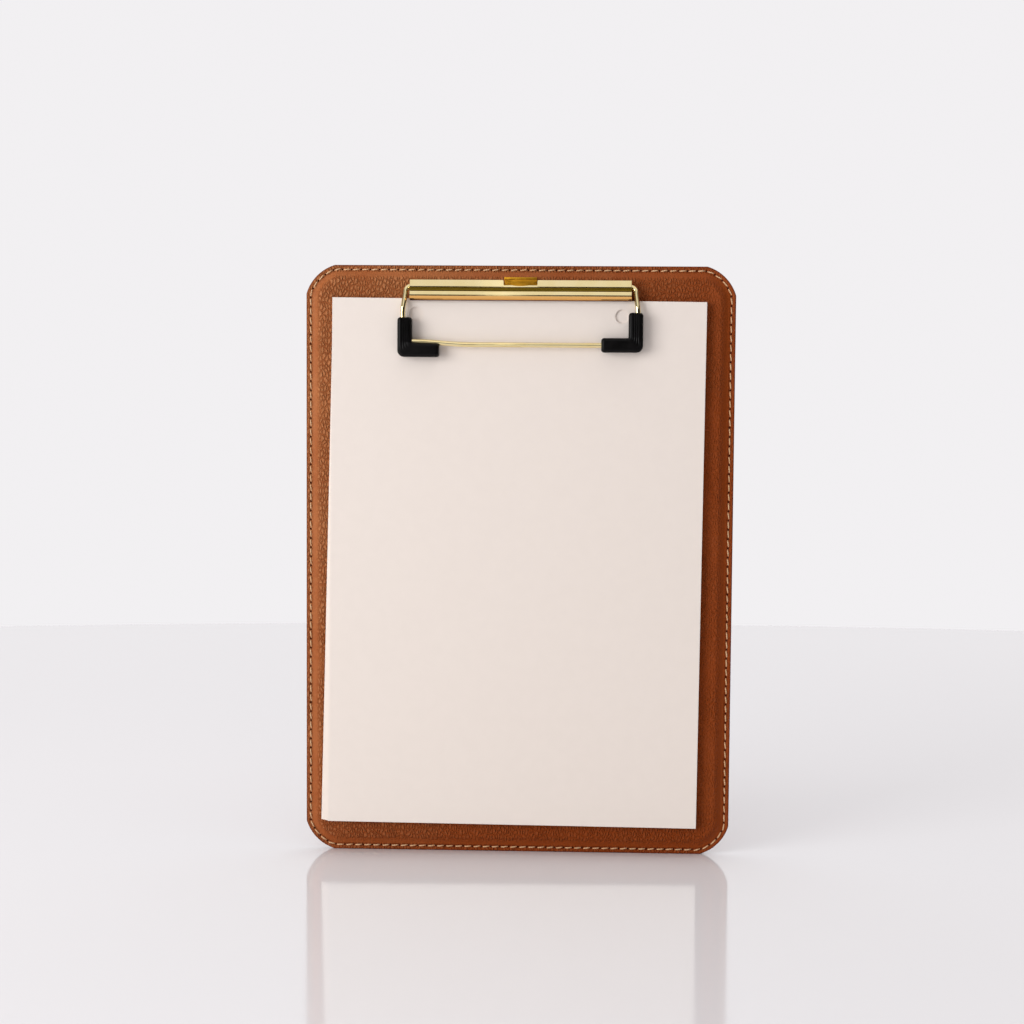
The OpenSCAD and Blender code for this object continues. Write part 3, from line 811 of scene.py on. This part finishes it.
def tube(path, radius, sides):
    """Points and faces of a round wire along a path, with eased ends."""
    path = np.asarray(path, float)
    tangents = np.gradient(path, axis=0)
    tangents /= np.linalg.norm(tangents, axis=1)[:, None]
    side_way = np.cross(tangents[0], (0, 0, 1.0))
    side_way /= np.linalg.norm(side_way)
    radii = np.full(len(path), radius)
    radii[[0, -1]] = radius * 0.85
    points = []
    for centre, tangent, girth in zip(path, tangents, radii):
        side_way = side_way - tangent * side_way.dot(tangent)
        side_way /= np.linalg.norm(side_way)
        up_way = np.cross(tangent, side_way)
        points += [centre + girth * (side_way * math.cos(a) + up_way * math.sin(a))
                   for a in np.linspace(0, 2 * math.pi, sides, endpoint=False)]
    faces = ring_faces(len(path), sides)
    last = (len(path) - 1) * sides
    points += [path[0], path[-1]]
    faces += fan(range(sides), len(points) - 2, flip=True)
    faces += fan(range(last, last + sides), len(points) - 1)
    return np.array(points), faces


wire_points, wire_faces = tube(wire_path, wire_r, 20)
bail = make_piece("wire_bail_bent", wire_points + (clip_x, pivot_y, pivot_z), wire_faces, gold)
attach(bail, "bail")
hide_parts("wire_bail")

# ---------------------------------------------------------------- rubber corners
# Two L-shaped mouldings of soft black rubber pushed over the bail's corners, ribbed along
# their upright legs. The left one has slipped down, and its wire lies in the open slit.
rubber_up, rubber_across, left_slip = 15.6, 16.4, 2.2
outer_round, inner_round, edge_round = 2.6, 0.5, 1.25


def rubber_stations():
    """Inner point, direction, width, end distance and rib share of each section of the L."""
    made = []
    ends = [0.0, 0.04, 0.16, 0.36, 0.62, 0.92, 1.25]
    corner = np.array((-rubber_w - inner_round, rubber_w + inner_round))
    upright = [rubber_up - e for e in ends] + list(np.linspace(rubber_up - 2, corner[1], 9))
    for y in upright:
        made.append(((-rubber_w, y), (1.0, 0.0), rubber_w, rubber_up - y, 1.0))
    for a in np.linspace(0, -math.pi / 2, 16)[1:-1]:
        way = np.array((math.cos(a), math.sin(a)))
        reach = min(-corner[0] / way[0], corner[1] / -way[1])
        tip = corner + way * reach
        if tip[0] > -outer_round and tip[1] < outer_round:
            to_round = corner - (-outer_round, outer_round)
            b = to_round.dot(way)
            reach = -b + math.sqrt(b * b - to_round.dot(to_round) + outer_round ** 2)
        inner = corner + way * inner_round
        share = max(0.0, 1 + a / 0.9)
        made.append((tuple(inner), tuple(way), reach - inner_round, 9.0, share))
    level = list(np.linspace(corner[0], 2 - rubber_across, 9))
    level += [e - rubber_across for e in ends[::-1]]
    for x in level:
        made.append(((x, rubber_w), (0.0, -1.0), rubber_w, x + rubber_across, 0.0))
    return made


def rubber_section(width, drawn_in, ribs, channel, lip):
    """Closed section in (from the inner side, out of the face). channel opens a slit in the
    inner side, and lip draws back the slit's front edge."""
    edge = min(edge_round, width / 2 - 0.1)
    mid = rubber_t / 2
    floor = channel * 1.7
    lips = 1.04 * min(1.0, channel * 1.2) + 0.05
    shape = [(lip * 1.0, mid + 1.5), (lip * 0.9, mid + lips + 0.1), (0.12 * channel + lip, mid + lips)]
    shape += [(floor - 1.0 * channel * (1 - math.sin(a)), mid + lips * math.cos(a))
              for a in np.linspace(0, math.pi, 9)[1:-1]]
    shape += [(0.12 * channel, mid - lips), (0.0, mid - lips - 0.1), (0.0, mid - 1.3)]
    shape += [(edge - edge * math.cos(a), edge - edge * math.sin(a))
              for a in np.linspace(0, math.pi / 2, 6)]
    shape += [(u, 0.0) for u in np.linspace(edge, width - edge, 5)[1:-1]]
    shape += [(width - edge + edge * math.sin(a), edge - edge * math.cos(a))
              for a in np.linspace(0, math.pi / 2, 6)]
    shape += [(width, v) for v in np.linspace(edge, rubber_t - edge, 5)[1:-1]]
    shape += [(width - edge + edge * math.cos(a), rubber_t - edge + edge * math.sin(a))
              for a in np.linspace(0, math.pi / 2, 6)]
    front = np.linspace(width - edge, edge, 25)[1:-1]
    for u in front:
        wave = 0.5 - 0.5 * math.cos((u - edge) / (width - 2 * edge) * 2 * math.pi * 4)
        shape.append((u, rubber_t - 0.34 * ribs * (1 - wave)))
    shape += [(edge - edge * math.sin(a) + lip * math.sin(a),
               rubber_t - edge + edge * math.cos(a)) for a in np.linspace(0, math.pi / 2, 6)]
    shape = np.array(shape)
    middle = np.array((width / 2, mid))
    room = 1 - drawn_in / (np.array((width, rubber_t)) / 2)
    return middle + (shape - middle) * room


def rubber_corner(name, side, slip, open_slit):
    """Rubber corner on the right (side 1) or left (side -1) leg, slipped down its wire."""
    corner_x = clip_x * side + leg_x + rubber_w / 2
    corner_y = pivot_y - bail_reach - rubber_w / 2 - slip
    points = []
    rows = rubber_stations()
    for inner, way, width, from_end, ribs in rows:
        near_end = min(from_end, edge_round)
        drawn_in = edge_round - math.sqrt(edge_round ** 2 - (edge_round - near_end) ** 2)
        on_level = smooth_step((-inner[0] - rubber_w - 0.4) / 2.0)
        channel = (1.0 if open_slit else 0.16) * float(on_level)
        lip = (0.35 if open_slit else 0.0) * float(on_level)
        for u, v in rubber_section(width, drawn_in * 0.85, ribs, channel, lip):
            points.append((corner_x + inner[0] + way[0] * u, corner_y + inner[1] + way[1] * u,
                           rubber_low + v))
    count = len(points) // len(rows)
    faces = ring_faces(len(rows), count)
    faces += [tuple(range(count))[::-1],
              tuple(range((len(rows) - 1) * count, len(rows) * count))]
    points = np.array(points)
    points[:, 0] *= side
    if side > 0:
        faces = [face[::-1] for face in faces]
    return make_piece(name, points, faces, black_rubber, 50)


# Moulded soft rubber: near black, a soft satin sheen where it is rounded, faint mould haze
black_rubber, tree, place = blank_material("moulded_black_rubber")
bloomed = add(tree, "ShaderNodeTexNoise", {"Vector": place, "Scale": 260.0, "Detail": 4.0})
skin = add(tree, "ShaderNodeTexNoise", {"Vector": place, "Scale": 5200.0, "Detail": 2.0})
share = add(tree, "ShaderNodeMapRange", {"Value": bloomed, "From Min": 0.35, "From Max": 0.7}, **smooth)
colour = add(tree, "ShaderNodeMix", {0: share, 6: srgb("#030202"), 7: srgb("#090707")}, **in_colour)
roughness = add(tree, "ShaderNodeMapRange",
                {"Value": bloomed, "From Min": 0.3, "From Max": 0.7, "To Min": 0.34, "To Max": 0.44},
                **smooth)
bump = add(tree, "ShaderNodeBump", {"Height": skin, "Strength": 0.12, "Distance": 0.00004})
finish_material(tree, Base_Color=colour, Roughness=roughness, Specular_IOR_Level=0.13, Normal=bump)
left_rubber = rubber_corner("corner_left_rubber", -1, left_slip, True)
right_rubber = rubber_corner("corner_right_rubber", 1, 0.0, False)
for rubber, node in ((left_rubber, "corner_left"), (right_rubber, "corner_right")):
    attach(rubber, "bail")
    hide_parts(node)

# ---------------------------------------------------------------- backing card
# Grey-brown 0.7 mm card, the size of the sheets, which stiffens the pad from behind.


# Backing card: recycled strawboard, grey-brown with flecks, matte
card, tree, place = blank_material("recycled_strawboard")
flecks = add(tree, "ShaderNodeTexNoise", {"Vector": place, "Scale": 1500.0, "Detail": 5.0})
share = add(tree, "ShaderNodeMapRange", {"Value": flecks, "From Min": 0.4, "From Max": 0.7}, **smooth)
colour = add(tree, "ShaderNodeMix", {0: share, 6: srgb("#A39781"), 7: srgb("#C2B69E")}, **in_colour)
bump = add(tree, "ShaderNodeBump", {"Height": flecks, "Strength": 0.25, "Distance": 0.0001})
finish_material(tree, Base_Color=colour, Roughness=0.88, Normal=bump)
nodes["backing_card"].data.materials[0] = card

# ---------------------------------------------------------------- sheets
# Cream writing paper, 148 by 210 mm. The sheets are thin boxes laid one on another, each a
# little askew, and the top ones are punched with two filing holes. Real ones lie fanned out
# at the left of their foot. Here each lower one is cut up to 3 mm wider there instead.
paper_w, paper_l = 148.0, 210.0
paper_top_at = (-0.35, 104.4)
paper_bottom, card_t, lower_t, upper_t = 4.85, 0.7, 1.6, 0.65
swing = math.radians(0.45)
hole_pitch, hole_drop, hole_r = 81.5, 6.1, 2.8
shuffle = np.random.default_rng(11)


def flat_sheet(holes):
    """Flat points and triangles of a sheet, its top edge's middle at the origin."""
    xs = np.linspace(-paper_w / 2, paper_w / 2, 17)
    ys = -np.linspace(0, paper_l, 22)
    border = [(x, 0.0) for x in xs] + [(xs[-1], y) for y in ys[1:]]
    border += [(x, ys[-1]) for x in xs[-2::-1]] + [(xs[0], y) for y in ys[-2:0:-1]]
    spots = list(border)
    edges = [(i, (i + 1) % len(border)) for i in range(len(border))]
    centres = [(s * hole_pitch / 2, -hole_drop) for s in (-1, 1)] if holes else []
    for cx, cy in centres:
        first = len(spots)
        spots += [(cx + hole_r * math.cos(a), cy + hole_r * math.sin(a))
                  for a in np.linspace(0, 2 * math.pi, 40, endpoint=False)]
        edges += [(first + i, first + (i + 1) % 40) for i in range(40)]
    for x in xs[1:-1]:
        for y in ys[1:-1]:
            if all(math.hypot(x - cx, y - cy) > hole_r + 1.5 for cx, cy in centres):
                spots.append((x, y))
    out = geometry.delaunay_2d_cdt([Vector(s) for s in spots], edges, [], 0, 1e-5)
    verts = np.array([tuple(v) for v in out[0]])
    triangles = [f for f in out[2] if all(
        math.hypot(*(verts[list(f)].mean(0) - c)) > hole_r * 0.98 for c in centres)]
    triangles = [f if np.cross(*(verts[list(f)][1:] - verts[f[0]])) > 0 else f[::-1]
                 for f in map(tuple, triangles)]
    return verts, triangles


def lay_sheets(holes, low, thick, count, spread_out):
    """Points and faces of count sheets between two heights. The lowest is spread_out mm wider
    than the sheets' own width at the left of its foot, and each above it is less so."""
    verts, triangles = flat_sheet(holes)
    # every edge in the order that it is met, so the rim comes out the same each run
    used = dict.fromkeys((a, b) for face in triangles for a, b in zip(face, face[1:] + face[:1]))
    rim = [(a, b) for a, b in used if (b, a) not in used]
    points, faces = [], []
    for k in range(count):
        turn = swing + math.radians(shuffle.uniform(-0.02, 0.02) * (not holes))
        slide = shuffle.uniform(-0.06, 0.06, 2) * (0.4 if holes else 1.0)
        wider = spread_out * (1 - k / count) ** 1.3
        flat_x = verts[:, 0] * (1 - 2 * wider / paper_w * verts[:, 1] / paper_l
                                * (verts[:, 0] < 0))
        x = flat_x * math.cos(turn) + verts[:, 1] * math.sin(turn)
        y = verts[:, 1] * math.cos(turn) - flat_x * math.sin(turn)
        x, y = x + paper_top_at[0] + slide[0], y + paper_top_at[1] - 0.1 + slide[1]
        bottom = low + thick * k / count + 0.004
        top = low + thick * (k + 1) / count - 0.004
        # the foot lifts a little, most at its left corner
        foot = np.clip((-verts[:, 1] - 150) / 60, 0, 1) ** 2
        left = np.clip(0.35 - verts[:, 0] / paper_w, 0, 1)
        lift = foot * (0.15 + 1.1 * left) * (0.25 + 0.75 * (low + thick * k / count - 5.5) / 2.3)
        first = len(points)
        points += list(zip(x, y, top + lift)) + list(zip(x, y, bottom + lift))
        size = len(verts)
        faces += [tuple(first + i for i in f) for f in triangles]
        faces += [tuple(first + size + i for i in f[::-1]) for f in triangles]
        faces += [(first + b, first + a, first + size + a, first + size + b) for a, b in rim]
    return points, faces


# Uncoated wove writing paper: warm cream, fully matte, with a faint cloudy formation and
# soft fibres that only a raking light shows
paper, tree, place = blank_material("uncoated_cream_wove")
cloud = add(tree, "ShaderNodeTexNoise", {"Vector": place, "Scale": 220.0, "Detail": 4.0})
fibres = add(tree, "ShaderNodeTexNoise", {"Vector": place, "Scale": 2600.0, "Detail": 4.0})
share = add(tree, "ShaderNodeMapRange", {"Value": cloud, "From Min": 0.3, "From Max": 0.7}, **smooth)
colour = add(tree, "ShaderNodeMix", {0: share, 6: srgb("#F2E7DE"), 7: srgb("#F3E8DF")}, **in_colour)
bump = add(tree, "ShaderNodeBump", {"Height": fibres, "Strength": 0.06, "Distance": 0.00003})
finish_material(tree, Base_Color=colour, Roughness=0.82, Specular_IOR_Level=0.3, Normal=bump)
lower = make_piece("lower_sheets_laid", *lay_sheets(
    False, paper_bottom + card_t, lower_t, 15, 3.0), paper, 30)
upper = make_piece("upper_sheets_laid", *lay_sheets(
    True, paper_bottom + card_t + lower_t, upper_t, 6, 0.0), paper, 30)
for sheets, node in ((lower, "lower_sheets"), (upper, "upper_sheets")):
    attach(sheets, "paper")
    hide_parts(node)

# ---------------------------------------------------------------- studio
# A pale polished table top, with a large soft light to the left. The surround is white
# behind and overhead, and dim at the sides and low in front but for one narrow slit, which
# gives the bar its bands. Seen directly it has one even brightness.
table_z, table_r, table_middle, rim_sides = -0.118, 1.05, (0.1, -0.32), 96
rim_points = [(table_middle[0] + table_r * 1.5 * math.cos(a),
               table_middle[1] + table_r * math.sin(a), table_z)
              for a in np.linspace(0, 2 * math.pi, rim_sides, endpoint=False)]
floor_mesh = bpy.data.meshes.new("table_top")
floor_mesh.from_pydata(rim_points + [(x, y, table_z - 0.03) for x, y, _ in rim_points], [],
                       [tuple(range(rim_sides)),
                        tuple(range(rim_sides, 2 * rim_sides))[::-1]]
                       + [face[::-1] for face in ring_faces(2, rim_sides)])
# Polished pale stone: white-grey, and glossy enough to mirror what stands on it
stone, tree, place = blank_material("polished_pale_stone")
finish_material(tree, Base_Color=srgb("#F1EFF0"), Roughness=0.09, Specular_IOR_Level=0.7)
floor_mesh.materials.append(stone)
floor = bpy.data.objects.new("table_top", floor_mesh)
scene.collection.objects.link(floor)

key_data = bpy.data.lights.new("key_left", "AREA")
key_data.shape = "RECTANGLE"
key_data.size, key_data.size_y = 0.9, 0.9
key_data.energy = 15.3
key = bpy.data.objects.new("key_left", key_data)
key.location = (-1.13, -0.98, 0.26)
key.rotation_mode = "QUATERNION"
key.rotation_quaternion = (-key.location).to_track_quat("-Z", "Y")
scene.collection.objects.link(key)

surround = bpy.data.worlds.new("surround")
surround.use_nodes = True
scene.world = surround
tree = surround.node_tree
tree.nodes.clear()


towards = add(tree, "ShaderNodeSeparateXYZ",
              {"Vector": add(tree, "ShaderNodeTexCoord").outputs["Generated"]})
behind = add(tree, "ShaderNodeMapRange",
             {"Value": towards.outputs["Y"], "From Min": 0.0, "From Max": 0.5}, **smooth)
aside = add(tree, "ShaderNodeMath", {0: towards.outputs["X"]}, operation="ABSOLUTE")
to_front = add(tree, "ShaderNodeMapRange",
               {"Value": towards.outputs["Y"], "From Min": -0.1, "From Max": -0.3}, **smooth)
near_middle = add(tree, "ShaderNodeMapRange",
                  {"Value": aside, "From Min": 0.42, "From Max": 0.27}, **smooth)
ahead_share = add(tree, "ShaderNodeMath", {0: to_front, 1: near_middle}, operation="MULTIPLY")
# what the front of the board faces: dim up to 13 degrees, bright from 17 degrees, and with a
# narrow bright slit all the way down
window = add(tree, "ShaderNodeMapRange",
             {"Value": towards.outputs["Z"], "From Min": 0.22, "From Max": 0.29}, **smooth)
gap = add(tree, "ShaderNodeMath", {0: towards.outputs["X"], 1: 0.041}, operation="ADD")
gap = add(tree, "ShaderNodeMath", {0: gap}, operation="ABSOLUTE")
slit = add(tree, "ShaderNodeMapRange",
           {"Value": gap, "From Min": 0.009, "From Max": 0.004, "To Min": 0.0, "To Max": 1.5},
           **smooth)
window = add(tree, "ShaderNodeMath", {0: window, 1: slit}, operation="MAXIMUM")
front_glow = add(tree, "ShaderNodeMath", {0: window, 1: 0.88, 2: 0.03}, operation="MULTIPLY_ADD")
leftward = add(tree, "ShaderNodeMapRange",
               {"Value": towards.outputs["X"], "From Min": 0.6, "From Max": -0.6}, **smooth)
overhead = add(tree, "ShaderNodeMapRange",
               {"Value": towards.outputs["Z"], "From Min": 0.45, "From Max": 0.85}, **smooth)
dim_glow = add(tree, "ShaderNodeMath", {0: leftward, 1: 0.24, 2: 0.05}, operation="MULTIPLY_ADD")
bright_glow = add(tree, "ShaderNodeMath", {0: behind, 1: overhead}, operation="MAXIMUM")
bright_glow = add(tree, "ShaderNodeMath", {0: bright_glow, 1: 0.97}, operation="MULTIPLY")
side_glow = add(tree, "ShaderNodeMath", {0: dim_glow, 1: bright_glow}, operation="MAXIMUM")
glow = add(tree, "ShaderNodeMix", {"Factor": ahead_share, "A": side_glow, "B": front_glow},
           data_type="FLOAT")
seen = add(tree, "ShaderNodeLightPath").outputs["Is Camera Ray"]
glow = add(tree, "ShaderNodeMix", {"Factor": seen, "A": glow, "B": 0.91}, data_type="FLOAT")
air = add(tree, "ShaderNodeBackground", {"Color": srgb("#FCFAFC"), "Strength": glow})
add(tree, "ShaderNodeOutputWorld", {"Surface": air})
